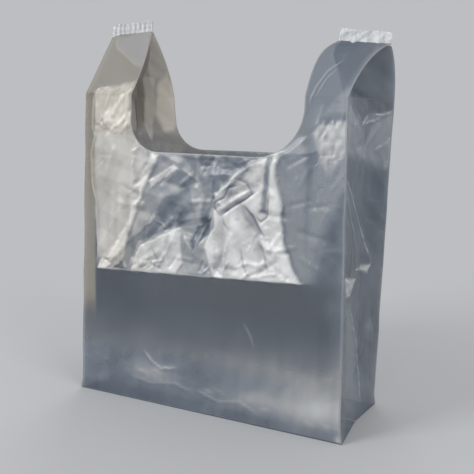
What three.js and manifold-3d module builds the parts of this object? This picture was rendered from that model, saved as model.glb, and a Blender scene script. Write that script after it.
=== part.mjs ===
// A clear plastic film carrier bag of the vest kind, standing open on its boxed base.
// It is one piece of film: a tube with folded sides, welded shut under the base and at
// the top of each handle, with the mouth cut out between the two handles.
//
// Frame: +Z is up, the front panel faces -Y, and the origin is the middle of the base's
// underside, on the surface that the bag stands on.

import * as THREE from "three";
import { mergeVertices } from "three/addons/utils/BufferGeometryUtils.js";
import Module from "manifold-3d";

const wasm = await Module();
wasm.setup();

// Driving dimensions, in millimetres and degrees.
const bagWidth = 300; // front panel at the base, from crease to crease
const gussetHalf = 59; // half of one side panel, from its crease to its centre fold
const filmWall = 0.6; // stand-in for film of about 0.05
const shoulderHeight = 322; // where the handles start to lean in
const gussetDip = 5; // how far a side's centre fold stands in from its creases
const rimDrop = 57; // from the shoulder down to the lip of the mouth
const mouthWidth = 184;
const mouthShift = 5; // the mouth lies this far towards the right handle
const backSag = 34; // how far the slack back panel sags forward beside the left handle
const sagOffset = 12; // from the left edge of the mouth out to the middle of that sag
const sagReach = 112; // from the middle of the sag to where it dies out
const foldMargin = 5; // from a handle's cut edge to the gusset fold behind it
const seamWidth = 5; // the weld across the middle of the base
const seamRise = 1.8;
const seamTab = 3; // how far the seam's ends stand out past the side folds
const weldHeight = 11;
const weldOverlap = 2; // how far a weld strip reaches down over the gathered layers
const crimpCount = 9;
const crimpDepth = 0.7;

// The two handles. inset and back place the middle of the weld from the bag's side and
// middle plane, rise is its height over the shoulder, turn is about the vertical, tilt
// lifts the inner end, and bow is how far the layers stand out between shoulder and weld.
// frontLean and backLean are how far the creases below lean in by the shoulder.
const leftHandle = {
  side: -1,
  inset: 25,
  back: 0,
  rise: 67,
  turn: 0,
  tilt: 3,
  bow: 0,
  weldLength: 50,
  mouthRadius: 30,
  frontLean: 6,
  backLean: 3,
};
const rightHandle = {
  side: 1,
  inset: 18,
  back: 12,
  rise: 54,
  turn: 42,
  tilt: 0,
  bow: 7,
  weldLength: 55,
  mouthRadius: 48,
  frontLean: 10,
  backLean: -2,
};

// How finely the film is divided.
const bodyRows = 6;
const panelColumns = 10;
const handleRows = 7;
const layerColumns = 3;
const arcSteps = 12;

const rimHeight = shoulderHeight - rimDrop;
const frontY = -gussetHalf + filmWall / 2;
const lerp = THREE.MathUtils.lerp;

const filmMaterial = new THREE.MeshStandardMaterial({
  color: 0x9aa2ad,
  roughness: 0.3,
  metalness: 0.0,
  transparent: true,
  opacity: 0.7,
});

// A closed geometry as a solid, and a solid as a geometry.
function solidOf(geometry) {
  geometry.deleteAttribute("normal");
  geometry.deleteAttribute("uv");
  const merged = mergeVertices(geometry, 1e-4);
  return new wasm.Manifold(
    new wasm.Mesh({
      numProp: 3,
      vertProperties: merged.attributes.position.array,
      triVerts: new Uint32Array(merged.index.array),
    }),
  );
}

function geometryOf(solid) {
  const mesh = solid.getMesh();
  const geometry = new THREE.BufferGeometry();
  geometry.setAttribute("position", new THREE.BufferAttribute(mesh.vertProperties, mesh.numProp));
  geometry.setIndex(new THREE.BufferAttribute(mesh.triVerts, 1));
  geometry.computeVertexNormals();
  return geometry;
}

// Moves the border points of a grid outwards along the surface, so that two layers which
// end on one crease overlap there and leave no notch.
function overrun(grid, reach) {
  const away = (edge, inner) => edge.clone().sub(inner).setLength(reach);
  const lastRow = grid.length - 1;
  const lastColumn = grid[0].length - 1;
  const moved = grid.map((row) => row.map((point) => point.clone()));
  for (let r = 0; r <= lastRow; r += 1) {
    moved[r][0].add(away(grid[r][0], grid[r][1]));
    moved[r][lastColumn].add(away(grid[r][lastColumn], grid[r][lastColumn - 1]));
  }
  for (let c = 0; c <= lastColumn; c += 1) {
    moved[0][c].add(away(grid[0][c], grid[1][c]));
    moved[lastRow][c].add(away(grid[lastRow][c], grid[lastRow - 1][c]));
  }
  return moved;
}

// The normal of a grid surface at one of its points, from its neighbours.
function normalAt(grid, r, c) {
  const along = grid[r][Math.min(c + 1, grid[0].length - 1)].clone().sub(grid[r][Math.max(c - 1, 0)]);
  const up = grid[Math.min(r + 1, grid.length - 1)][c].clone().sub(grid[Math.max(r - 1, 0)][c]);
  return along.cross(up).normalize();
}

// One layer of film: a grid of points on its middle surface, thickened to filmWall.
function layer(middle) {
  const grid = overrun(middle, filmWall / 2);
  const rows = grid.length;
  const columns = grid[0].length;
  const positions = [];
  for (const sign of [1, -1]) {
    for (let r = 0; r < rows; r += 1) {
      for (let c = 0; c < columns; c += 1) {
        const point = grid[r][c].clone().addScaledVector(normalAt(grid, r, c), (sign * filmWall) / 2);
        positions.push(point.x, point.y, point.z);
      }
    }
  }
  const at = (face, r, c) => face * rows * columns + r * columns + c;
  const index = [];
  const quad = (a, b, c, d) => index.push(a, b, c, a, c, d);
  for (let r = 0; r + 1 < rows; r += 1) {
    for (let c = 0; c + 1 < columns; c += 1) {
      quad(at(0, r, c), at(0, r, c + 1), at(0, r + 1, c + 1), at(0, r + 1, c));
      quad(at(1, r, c), at(1, r + 1, c), at(1, r + 1, c + 1), at(1, r, c + 1));
    }
    quad(at(0, r, 0), at(0, r + 1, 0), at(1, r + 1, 0), at(1, r, 0));
    quad(at(0, r + 1, columns - 1), at(0, r, columns - 1), at(1, r, columns - 1), at(1, r + 1, columns - 1));
  }
  for (let c = 0; c + 1 < columns; c += 1) {
    quad(at(0, 0, c + 1), at(0, 0, c), at(1, 0, c), at(1, 0, c + 1));
    quad(at(0, rows - 1, c), at(0, rows - 1, c + 1), at(1, rows - 1, c + 1), at(1, rows - 1, c));
  }
  const geometry = new THREE.BufferGeometry();
  geometry.setAttribute("position", new THREE.Float32BufferAttribute(positions, 3));
  geometry.setIndex(index);
  const solid = solidOf(geometry);
  if (solid.volume() > 0) return solid;
  geometry.setIndex(index.map((_, i) => index[i - (i % 3) + (2 - (i % 3))]));
  return solidOf(geometry);
}

// A grid of points from a function of two fractions, u across and v up.
function gridOf(columns, rows, pointAt) {
  return Array.from({ length: rows + 1 }, (_, r) =>
    Array.from({ length: columns + 1 }, (_unused, c) => pointAt(c / columns, r / rows)),
  );
}

// X of the mouth's edge on one side, the inner edge of that side's handle.
const mouthEdge = (handle) => mouthShift + (handle.side * mouthWidth) / 2;

// How far the back panel sags forward at a point: a round bump across the panel, beside
// the left handle, that grows with the square of the height.
function sagAt(x, z) {
  const across = THREE.MathUtils.clamp((x - mouthEdge(leftHandle) + sagOffset) / sagReach, -1, 1);
  return backSag * (z / shoulderHeight) ** 2 * Math.cos((across * Math.PI) / 2) ** 2;
}

// A point of the front panel (face -1) or the back panel (face 1).
const panelAt = (face, x, z) => new THREE.Vector3(x, face < 0 ? frontY : -frontY - sagAt(x, z), z);

// A side's crease with the front or the back panel, and its centre fold, at height z.
function bodyCrease(handle, face, z) {
  const lean = face < 0 ? handle.frontLean : handle.backLean;
  return panelAt(face, handle.side * (bagWidth / 2 - filmWall / 2 - lean * (z / shoulderHeight)), z);
}

function bodyFold(handle, z) {
  const middle = bodyCrease(handle, -1, z).lerp(bodyCrease(handle, 1, z), 0.5);
  return middle.add(new THREE.Vector3(-handle.side * gussetDip, 0, 0));
}

// The body's layers start within the base's thickness and end at the shoulder.
const bodyHeight = (v) => lerp(filmWall, shoulderHeight, v);

function bodyPanel(face) {
  return layer(
    gridOf(panelColumns, bodyRows, (u, v) => {
      const z = bodyHeight(v);
      return panelAt(face, lerp(bodyCrease(leftHandle, face, z).x, bodyCrease(rightHandle, face, z).x, u), z);
    }),
  );
}

function bodyGusset(handle, face) {
  return layer(
    gridOf(layerColumns, bodyRows, (u, v) => {
      const z = bodyHeight(v);
      return bodyCrease(handle, face, z).lerp(bodyFold(handle, z), u);
    }),
  );
}

// The outline of the base, as the film stands on it.
function baseOutline(inset) {
  const x = bagWidth / 2 - inset;
  const y = gussetHalf - inset;
  return new THREE.Shape([
    new THREE.Vector2(-x, -y),
    new THREE.Vector2(x, -y),
    new THREE.Vector2(x - gussetDip, 0),
    new THREE.Vector2(x, y),
    new THREE.Vector2(-x, y),
    new THREE.Vector2(-x + gussetDip, 0),
  ]);
}

function plate(shape, thickness, bottom) {
  const geometry = new THREE.ExtrudeGeometry(shape, { depth: thickness, bevelEnabled: false });
  geometry.translate(0, 0, bottom);
  return solidOf(geometry);
}

// The side panel's end, folded in flat on the base as a triangle of two more layers.
function baseTriangle(side) {
  const x = side * (bagWidth / 2 - filmWall / 2);
  const tip = side * (bagWidth / 2 - gussetHalf);
  const y = gussetHalf - filmWall / 2;
  const corners = [new THREE.Vector2(x, -y), new THREE.Vector2(x - side * gussetDip, 0), new THREE.Vector2(x, y)];
  return plate(new THREE.Shape([...corners, new THREE.Vector2(tip, 0)]), 2 * filmWall, filmWall / 2);
}

// The weld across the base, a welt whose two ends stand out past the side folds as tabs.
function baseSeam() {
  const geometry = new THREE.BoxGeometry(bagWidth - 2 * gussetDip + 2 * seamTab, seamWidth, seamRise);
  geometry.translate(0, 0, seamRise / 2);
  return solidOf(geometry);
}

// The frame of a handle's weld: its middle, its outward direction and its backward normal.
function weldFrame(handle) {
  const angle = THREE.MathUtils.degToRad(handle.turn);
  return {
    middle: new THREE.Vector3(
      handle.side * (bagWidth / 2 - handle.inset),
      handle.back,
      shoulderHeight + handle.rise,
    ),
    outward: new THREE.Vector3(handle.side * Math.cos(angle), Math.sin(angle), 0),
    backward: new THREE.Vector3(-handle.side * Math.sin(angle), Math.cos(angle), 0),
  };
}

// A point of the weld: along is 1 at its outer end and -1 at its inner end, and level
// counts film layers from the middle towards the back.
function weldPoint(handle, along, level) {
  const { middle, outward, backward } = weldFrame(handle);
  const lift = (-along * handle.weldLength * Math.sin(THREE.MathUtils.degToRad(handle.tilt))) / 2;
  return middle
    .clone()
    .addScaledVector(outward, (along * handle.weldLength) / 2)
    .addScaledVector(backward, level * filmWall)
    .add(new THREE.Vector3(0, 0, lift));
}

// The crease and the cut edge of a handle's front layer (face -1) or back layer (face 1),
// a fraction s of the way from the shoulder to the weld. The cut edge eases across.
function creaseAt(handle, face, s) {
  const from = bodyCrease(handle, face, shoulderHeight);
  const swell = 4 * s * (1 - s) * handle.bow;
  return from.lerp(weldPoint(handle, 1, 1.5 * face), s).add(new THREE.Vector3(0, face * swell, swell));
}

function cutEdgeAt(handle, face, s) {
  const from = panelAt(face, mouthEdge(handle), shoulderHeight);
  const to = weldPoint(handle, -1, 1.5 * face);
  const swell = 4 * s * (1 - s) * handle.bow;
  return new THREE.Vector3(lerp(from.x, to.x, s * s), lerp(from.y, to.y, s) + face * swell, lerp(from.z, to.z, s));
}

// The centre fold of the gusset inside a handle. The film keeps its width while its two
// creases close up, so the fold moves in along a quarter circle.
function handleFoldAt(handle, face, s) {
  const creases = creaseAt(handle, -1, s).lerp(creaseAt(handle, 1, s), 0.5);
  const cuts = cutEdgeAt(handle, -1, s).lerp(cutEdgeAt(handle, 1, s), 0.5);
  const across = cuts.sub(creases);
  const fullDepth = across.length() - foldMargin;
  const inward = new THREE.Vector3(-handle.side, 0, 0).lerp(across.normalize(), s).normalize();
  return creases
    .addScaledVector(inward, lerp(gussetDip, fullDepth, Math.sqrt(s * (2 - s))))
    .addScaledVector(weldFrame(handle).backward, 0.5 * face * s * filmWall);
}

function handleLayer(handle, face) {
  return layer(
    gridOf(layerColumns, handleRows, (u, s) => creaseAt(handle, face, s).lerp(cutEdgeAt(handle, face, s), u)),
  );
}

function handleGusset(handle, face) {
  const { backward } = weldFrame(handle);
  return layer(
    gridOf(layerColumns, handleRows, (u, s) =>
      creaseAt(handle, face, s)
        .addScaledVector(backward, -face * s * filmWall)
        .lerp(handleFoldAt(handle, face, s), u),
    ),
  );
}

// The weld that gathers a handle's four layers: a strip whose plan is a shallow wave.
function weldStrip(handle) {
  const { middle } = weldFrame(handle);
  const steps = crimpCount * 4;
  const edge = (offset) =>
    Array.from({ length: steps + 1 }, (_, i) => {
      const f = i / steps;
      const wave = crimpDepth * Math.sin(2 * Math.PI * crimpCount * f);
      return new THREE.Vector2((f - 0.5) * handle.weldLength, wave + offset);
    });
  const outline = [...edge(-2 * filmWall), ...edge(2 * filmWall).reverse()];
  const geometry = new THREE.ExtrudeGeometry(new THREE.Shape(outline), {
    depth: weldHeight + weldOverlap,
    bevelEnabled: false,
  });
  geometry.translate(0, 0, -weldOverlap);
  geometry.rotateY(THREE.MathUtils.degToRad(handle.side * handle.tilt));
  geometry.rotateZ(THREE.MathUtils.degToRad(handle.side * handle.turn));
  geometry.translate(middle.x, middle.y, middle.z);
  return solidOf(geometry);
}

// What the die cuts out of the front and the back panel: the mouth, with round corners.
function mouthCut() {
  const left = mouthEdge(leftHandle);
  const right = mouthEdge(rightHandle);
  const leftRadius = leftHandle.mouthRadius;
  const rightRadius = rightHandle.mouthRadius;
  const top = shoulderHeight + filmWall * 4;
  const shape = new THREE.Shape();
  shape.moveTo(left, top);
  shape.lineTo(left, rimHeight + leftRadius);
  shape.absarc(left + leftRadius, rimHeight + leftRadius, leftRadius, Math.PI, 1.5 * Math.PI, false);
  shape.lineTo(right - rightRadius, rimHeight);
  shape.absarc(right - rightRadius, rimHeight + rightRadius, rightRadius, 1.5 * Math.PI, 2 * Math.PI, false);
  shape.lineTo(right, top);
  const depth = 4 * gussetHalf;
  const geometry = new THREE.ExtrudeGeometry(shape, { depth, bevelEnabled: false, curveSegments: arcSteps });
  geometry.rotateX(Math.PI / 2);
  geometry.translate(0, depth / 2, 0);
  return solidOf(geometry);
}

function filmBag() {
  const cut = mouthCut();
  let bag = bodyPanel(-1).add(bodyPanel(1)).subtract(cut);
  bag = bag.add(plate(baseOutline(0), filmWall, 0)).add(baseSeam());
  for (const handle of [leftHandle, rightHandle]) {
    bag = bag.add(baseTriangle(handle.side)).add(weldStrip(handle));
    for (const face of [-1, 1]) {
      bag = bag.add(bodyGusset(handle, face));
      bag = bag.add(handleLayer(handle, face)).add(handleGusset(handle, face));
    }
  }
  return bag;
}

const group = new THREE.Group();
const film = new THREE.Mesh(geometryOf(filmBag()), filmMaterial);
film.name = "film_bag";
group.add(film);

export default group;
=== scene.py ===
"""A clear plastic film carrier bag of the vest kind, standing open on its boxed base.

The film is a tube with folded sides, welded under the base and at the top of each handle.
Each surface is worked out from the sizes in the sidebar, creased with folds, and given
the tone that the crumpled film shows, with its light, shade, sheen and highlights painted
into that tone. Everything is in metres, in the frame of the CAD model: +Z is up, the front
panel faces -Y, and the origin is the middle of the base.
"""

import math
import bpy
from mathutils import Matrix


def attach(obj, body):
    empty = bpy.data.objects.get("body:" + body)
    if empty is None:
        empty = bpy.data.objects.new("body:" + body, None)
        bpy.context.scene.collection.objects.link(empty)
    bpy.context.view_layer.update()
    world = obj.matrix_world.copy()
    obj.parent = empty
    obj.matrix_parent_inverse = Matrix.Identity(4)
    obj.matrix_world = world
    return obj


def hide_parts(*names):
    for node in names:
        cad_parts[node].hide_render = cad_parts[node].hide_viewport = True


bl_info = {
    "name": "Film Carrier Bag",
    "version": (1, 0, 0),
    "blender": (4, 5, 0),
    "location": "View3D > Sidebar > Carrier Bag",
    "description": "Builds a clear film vest bag with folded sides, crumpled panels and welded handles",
    "category": "Add Mesh",
}

import bmesh
import bpy
import numpy as np
from mathutils import Matrix, Vector

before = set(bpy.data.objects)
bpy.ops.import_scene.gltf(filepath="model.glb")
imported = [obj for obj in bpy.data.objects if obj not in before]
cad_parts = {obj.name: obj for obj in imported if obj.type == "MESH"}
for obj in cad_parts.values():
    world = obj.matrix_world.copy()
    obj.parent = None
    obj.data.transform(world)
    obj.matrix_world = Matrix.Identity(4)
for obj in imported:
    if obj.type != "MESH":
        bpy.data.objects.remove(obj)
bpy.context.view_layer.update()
NODE = "film_bag"
BODY = "root"
MM = 0.001
FRONT = -1
BACK = 1
CREASE_SWAY = 0.5 * MM
BASE_FLARE = 1.6 * MM
MERGE_DISTANCE = 0.003 * MM

# Points across the left, middle and right part of a panel, and rows below and in the crumpled
# part, round the mouth's corner, up to the shoulder and in the handle.
FRONT_GRID = {"columns": (66, 78, 72), "low": 64, "high": 110, "corner": 22, "neck": 8, "top": 32}
BACK_GRID = {"columns": (40, 46, 44), "low": 50, "high": 62, "corner": 22, "neck": 8, "top": 36}
# Points across a side panel, and rows up to the shoulder and in the handle.
RIGHT_SIDE_GRID = (81, 190, 60)
LEFT_SIDE_GRID = (61, 140, 60)
# Points along and across the smaller parts.
BASE_GRID = (121, 49)
SEAM_GRID = (241, 25)
WELD_GRID = (201, 40)

# Tones of the parts before their facets, creases and folds, as levels from 0 to 255.
SMOOTH_LEVEL = 80
# The crumpled part's tone below is a painted sheen, the light that crumpled film reflects.
CRUMPLED_SHEEN_LEVEL = 176
STRIP_LEVEL = 166
LEFT_HANDLE_LEVEL = 182
RIGHT_HANDLE_LEVEL = 136
UPPER_RIGHT_LEVEL = 136
# A painted highlight along the lower edge of the crumpled part.
HEM_HIGHLIGHT_LEVEL = 228
BACK_LEVEL = 104
SIDE_LEVEL = 114
LEFT_SIDE_HANDLE_LEVEL = 152
BASE_LEVEL = 120
SEAM_LEVEL = 165
LEFT_WELD_LEVEL = 216
RIGHT_WELD_LEVEL = 246

# The floor's rings and the distances between which it fades, in metres, and the lamps: name,
# place in metres, side in metres and power in watts.
FLOOR_RINGS = (0.4, 1.2, 3.0, 7.0)
FLOOR_SIDES = 96
FLOOR_FADE = (0.25, 1.6)
LAMPS = (
    ("key light", (-1.15, -1.75, 1.3), 0.8, 27),
    ("fill light", (1.9, -1.0, 1.2), 1.2, 15),
    ("back light", (-0.6, 1.9, 1.5), 1.4, 15),
)
LAMP_TARGET = (0, 0, 0.18)
PICTURE_SIDE = 474

# The two handles, in millimetres and degrees. inset and back place the middle of the weld
# from the bag's side and middle plane, rise is its height over the shoulder, turn is about
# the vertical, tilt lifts the inner end, and bow is how far the layers stand out.
LEFT_HANDLE = {
    "side": -1,
    "inset": 25,
    "back": 0,
    "rise": 67,
    "turn": 0,
    "tilt": 3,
    "bow": 0,
    "weld_length": 50,
    "mouth_radius": 30,
    "edge_power": 2,
    "front_lean": 6,
    "back_lean": 3,
}
RIGHT_HANDLE = {
    "side": 1,
    "inset": 18,
    "back": 12,
    "rise": 54,
    "turn": 42,
    "tilt": 0,
    "bow": 7,
    "weld_length": 55,
    "mouth_radius": 48,
    "edge_power": 8,
    "front_lean": 10,
    "back_lean": -2,
}
ANGLES = ("turn", "tilt")
PLAIN_NUMBERS = ("side", "edge_power")

# Where the crumpled part of the front panel lies, as points (x, z) in millimetres.
CRUMPLED_FRONT = (
    (-132, 326), (-133, 305), (-134, 286), (-131, 279), (-136, 260), (-135, 228), (-130, 210),
    (-128, 163), (-130, 138), (106, 149), (95, 165), (85, 189), (81, 224), (76, 244), (75, 271),
    (80, 300), (-85, 334),
)
HEM_LEFT = (-130, 138)
HEM_RIGHT = (106, 149)

# The crumple below the right handle, the cool fan under the left weld, the slot of painted
# shade that shows through the left handle, and the crumpled block in that handle.
RIGHT_CRUMPLE = (
    (112, 300), (124, 298), (141, 300), (141, 278), (138, 262), (128, 246), (120, 250), (115, 270),
    (109, 288),
)
LEFT_FAN = ((-144, 385), (-103, 390), (-84, 344), (-93, 350), (-108, 358), (-123, 366), (-135, 373))
LEFT_SLOT_SHADE = ((-127, 357), (-136, 345), (-150, 307), (-148, 286), (-139, 278), (-133, 295), (-127, 330))
LEFT_BLOCK = ((-130, 328), (-89, 333), (-87, 290), (-100, 281), (-112, 284), (-130, 292))

# Facets of the front panel: tone from 0 to 255, softness of the outline and height of the
# facet in millimetres, and the outline as points (x, z). The tones paint the light, shade and
# sheen of the crumpled film's facets.
FRONT_FACETS = (
    (206, 2.0, 0.5, (
        (-132, 290), (-112, 283), (-100, 281), (-85, 290), (-78, 276), (-65, 263), (-70, 239),
        (-81, 216), (-86, 191), (-93, 169), (-111, 150), (-127, 150), (-133, 197), (-134, 236),
    )),
    (232, 2.5, 1.5, (
        (-62, 262), (-53, 261), (-70, 227), (-79, 204), (-93, 166), (-111, 147), (-116, 151),
        (-90, 191), (-77, 224), (-70, 242),
    )),
    (182, 2.0, 0.0, (
        (-53, 261), (-34, 252), (-49, 239), (-65, 228), (-72, 214), (-84, 179), (-88, 171), (-91, 178),
        (-79, 204), (-70, 227),
    )),
    (232, 1.5, 0.8, ((-36, 254), (-31, 250), (-58, 233), (-63, 228), (-65, 235))),
    (140, 2.0, -0.8, (
        (-56, 197), (-42, 189), (-77, 171), (-89, 144), (-97, 148), (-91, 169), (-73, 183),
    )),
    (235, 1.0, 0.8, ((-131, 132), (-110, 145), (-123, 150), (-127, 147))),
    (120, 1.0, -0.8, ((-121, 132), (-97, 148), (-91, 132))),
    (146, 2.5, -0.6, ((-49, 218), (-19, 229), (-8, 201), (-25, 192), (-42, 189), (-56, 200))),
    (150, 2.0, 0.5, ((-46, 238), (-28, 251), (-9, 239), (-22, 231))),
    (154, 2.0, -0.6, (
        (-26, 261), (56, 266), (29, 245), (11, 226), (8, 217), (3, 199), (-3, 198), (-2, 225),
        (-9, 243),
    )),
    (222, 1.5, 1.2, (
        (-26, 190), (-24, 156), (-34, 135), (-87, 132), (-80, 158), (-70, 171), (-49, 182),
    )),
    (234, 1.5, 1.5, (
        (67, 269), (58, 262), (32, 247), (25, 236), (11, 227), (9, 221), (17, 216), (11, 210),
        (11, 194), (5, 186), (2, 173), (10, 150), (13, 132), (108, 138), (87, 178), (81, 206),
        (83, 228), (76, 255), (83, 270),
    )),
    (206, 2.0, 0.6, ((27, 239), (40, 247), (53, 239), (51, 231), (30, 218), (17, 208), (11, 217))),
    (186, 2.5, -0.8, ((38, 219), (52, 210), (64, 189), (56, 191), (44, 205))),
    (206, 3.0, -0.5, ((17, 207), (26, 188), (24, 148), (13, 150), (9, 187))),
    (208, 3.0, -0.5, ((55, 189), (65, 192), (72, 154), (61, 153))),
    (176, 2.0, -0.5, ((52, 265), (62, 265), (37, 243), (27, 239))),
    (245, 2.5, 0.6, ((70, 265), (78, 266), (80, 212), (72, 212))),
    (158, 2.0, -1.0, ((66, 267), (71, 267), (68, 236), (64, 213), (59, 213), (63, 240))),
    (132, 3.0, 0.0, ((-46, 217), (-28, 224), (-17, 209), (-22, 196), (-40, 195), (-51, 204))),
    (122, 1.2, -0.8, ((-8, 192), (7, 204), (4, 187), (-12, 168), (-14, 177))),
    (165, 1.5, 0.0, ((-24, 176), (-12, 167), (10, 150), (-10, 135), (-24, 158))),
    (176, 4.0, 0.4, (
        (75, 271), (76, 244), (81, 224), (85, 189), (95, 165), (106, 149), (112, 165), (105, 200),
        (106, 240), (104, 275), (96, 285),
    )),
    (198, 6.0, 0.0, ((114, 268), (140, 272), (138, 244), (130, 222), (121, 218), (114, 240))),
    (208, 2.5, 0.8, RIGHT_CRUMPLE),
    (176, 8.0, 0.0, (
        (110, 262), (140, 262), (136, 230), (122, 190), (112, 150), (106, 149), (104, 180), (106, 220),
    )),
    (120, 2.0, -0.4, (
        (100, 284), (113, 299), (117, 306), (141, 307), (140, 300), (113, 298), (110, 289),
    )),
    (160, 3.0, 0.2, ((136, 330), (142, 326), (141, 307), (116, 306), (125, 316))),
    (208, 1.5, 0.8, LEFT_BLOCK),
    (202, 2.0, 0.0, LEFT_FAN),
)

# What shows on the layers at the back of the left handle: the fold under the weld, a grey
# strip, a zone of painted light, the slot in painted shade and the painted shade above
# the rim.
HANDLE_FACETS = (
    (208, 2.0, 0.0, ((-114, 390), (-70, 390), (-84, 340), (-92, 348), (-114, 339))),
    (222, 1.5, 0.0, ((-124, 345), (-108, 343), (-113, 318), (-117, 295), (-121, 274), (-135, 290))),
    (252, 4.0, 0.0, (
        (-106, 339), (-92, 349), (-84, 328), (-83, 300), (-90, 284), (-104, 284), (-116, 304),
        (-109, 324),
    )),
    (188, 1.2, 0.0, LEFT_SLOT_SHADE),
    (164, 5.0, 0.0, ((-125, 272), (-109, 274), (-80, 272), (-80, 255), (-122, 255))),
)

# Sharp creases of the front panel: tone, half width and height in millimetres, and the
# points (x, z) that the crease follows.
# Their tones are painted: shade in the dark creases and highlights in the light ones.
FRONT_CREASES = (
    (226, 1.0, 0.6, ((-144, 384), (-135, 373), (-123, 366), (-108, 358), (-93, 350))),
    (212, 0.9, 0.4, ((-120, 386), (-126, 378), (-130, 370))),
    (205, 0.9, 0.8, ((28, 184), (24, 168), (26, 152))),
    (150, 1.0, -0.8, ((40, 176), (44, 160), (52, 148))),
    (160, 1.0, -0.8, ((58, 186), (66, 170), (70, 154))),
    (245, 1.0, 0.8, ((63, 186), (74, 164), (80, 150))),
    (160, 1.0, -0.7, ((-60, 168), (-52, 154), (-50, 144))),
    (245, 1.0, 0.7, ((-36, 180), (-44, 162), (-40, 146))),
    (95, 1.0, -1.3, ((18, 207), (30, 216), (43, 224), (55, 233))),
    (250, 1.2, 0.9, ((14, 210), (28, 221), (41, 229), (52, 237))),
    (105, 1.2, -1.4, ((42, 219), (52, 208), (59, 196), (64, 191))),
    (125, 0.9, -0.9, ((20, 205), (23, 198), (28, 193))),
    (135, 1.0, -0.8, ((54, 210), (60, 204), (66, 209), (68, 230))),
    (105, 0.9, -0.9, ((8, 226), (12, 220), (22, 225), (27, 235), (37, 238))),
    (110, 0.8, -0.8, ((11, 221), (10, 214), (17, 207))),
    (225, 0.9, 0.7, ((-25, 189), (-20, 178), (-12, 168))),
    (215, 0.9, 0.6, ((2, 199), (-12, 168))),
    (215, 0.8, 0.6, ((-58, 197), (-42, 189))),
    (205, 0.8, 0.5, ((-61, 206), (-56, 194))),
    (205, 0.8, 0.6, ((-28, 251), (-9, 239))),
    (230, 1.0, 0.8, ((37, 247), (25, 236), (12, 227))),
    (120, 0.9, -0.6, ((32, 245), (45, 240), (52, 228))),
    (228, 1.0, 0.8, (
        (-132, 323), (-133, 305), (-134, 286), (-131, 279), (-136, 260), (-135, 228), (-130, 210),
        (-128, 163), (-130, 139),
    )),
    (235, 1.2, 0.7, ((-70, 56), (-59, 45), (-49, 40), (-29, 44))),
    (190, 1.4, 0.4, ((-86, 26), (-60, 22), (-31, 27), (-10, 20))),
    (195, 1.6, 0.4, ((-6, 24), (20, 17), (44, 22), (64, 14))),
    (205, 0.9, 0.5, ((44, 104), (53, 92), (58, 80))),
    (158, 2.5, 0.3, ((108, 182), (126, 183), (144, 186))),
    (215, 0.8, 0.6, ((-141, 322), (-116, 330), (-84, 336))),
    (140, 0.8, -0.6, ((-126, 300), (-117, 288), (-112, 286))),
    (235, 0.9, 0.7, ((-112, 286), (-100, 292), (-90, 303))),
    (205, 0.7, 0.4, ((125, 357), (114, 346), (108, 331), (104, 315))),
    (195, 0.6, 0.4, ((122, 348), (115, 338), (110, 322))),
    (205, 1.0, 0.6, ((116, 303), (119, 297), (125, 296))),
)

# Broad painted highlights and a little painted shade, low on the front panel: middle (x, z),
# reach (x, z) and the change of tone, all in millimetres and levels.
FRONT_PAINTED_LIGHT = (
    ((-62, 34), (28, 10), 40),
    ((75, 27), (46, 9), 30),
    ((126, 32), (30, 20), 62),
    ((92, 60), (28, 8), 14),
    ((14, 62), (44, 9), 14),
    ((135, 131), (10, 12), 22),
    ((19, 120), (60, 18), -6),
    ((141, 108), (8, 60), 22),
    ((147, 3), (4, 4), 50),
)

# The right side panel, in the same form: points are (y, z). The tones are painted light and
# shade on the panel's facets.
SIDE_FACETS = (
    (216, 1.5, 1.2, ((-22, 297), (-12, 305), (56, 311), (18, 301))),
    (216, 2.5, 0.8, ((20, 274), (56, 284), (56, 266), (48, 254), (34, 266))),
    (168, 6.0, 0.0, (
        (-58, 320), (-45, 315), (-22, 300), (-6, 282), (10, 300), (58, 312), (58, 255), (-58, 272),
    )),
    (120, 4.0, 0.6, ((-58, 256), (-57, 250), (13, 170), (-56, 182))),
    (205, 2.5, 1.5, ((-24, 162), (23, 160), (14, 151))),
    (196, 2.5, 2.0, ((-55, 157), (-23, 152), (-43, 137), (-54, 140))),
    (160, 6.0, 0.4, ((15, 96), (41, 84), (36, 100))),
    # Painted shade: the dark top of the panel, where the side folds in at the shoulder.
    (88, 4.0, -0.4, ((-58, 335), (58, 322), (58, 312), (20, 306), (-22, 300), (-45, 315))),
    (158, 12.0, 0.3, ((-50, 130), (-32, 126), (-8, 84), (6, 42), (12, 16), (-50, 10))),
)
# Creases of the right side panel, in the same form, lighter than the panel as painted highlights.
SIDE_CREASES = (
    (220, 1.5, 1.0, ((-58, 250), (-35, 228), (19, 168))),
    (205, 1.2, 0.8, ((-58, 236), (-34, 200), (-16, 160))),
    (150, 1.0, 0.8, ((-58, 322), (-45, 315), (-22, 300), (-6, 282))),
    (190, 0.9, 0.8, ((-21, 298), (-1, 307), (55, 310))),
    (210, 1.3, 0.8, ((-35, 125), (-7, 84), (10, 42), (15, 16))),
    (150, 0.9, 0.6, ((-22, 300), (-18, 286), (-14, 262))),
)


def srgb(red, green, blue):
    """The linear colour of an sRGB colour whose channels go from 0 to 255."""
    channels = np.array([red, green, blue]) / 255
    linear = np.where(channels <= 0.04045, channels / 12.92, ((channels + 0.055) / 1.055) ** 2.4)
    return tuple(float(channel) for channel in linear)


def length(name, millimetres, description):
    """A length property whose default is given in millimetres."""
    return bpy.props.FloatProperty(
        name=name,
        description=description,
        default=millimetres * MM,
        unit="LENGTH",
        subtype="DISTANCE",
        precision=4,
    )


def angle(name, degrees, description):
    """An angle property whose default is given in degrees."""
    return bpy.props.FloatProperty(
        name=name,
        description=description,
        default=math.radians(degrees),
        unit="ROTATION",
        subtype="ANGLE",
    )


def share(name, default, description):
    """A number from 0 to 1."""
    return bpy.props.FloatProperty(
        name=name, description=description, default=default, min=0, max=1, subtype="FACTOR"
    )


def colour(name, default, description):
    """A colour property. The default is linear."""
    return bpy.props.FloatVectorProperty(
        name=name, description=description, default=default, size=3, min=0, max=1, subtype="COLOR"
    )


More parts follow.
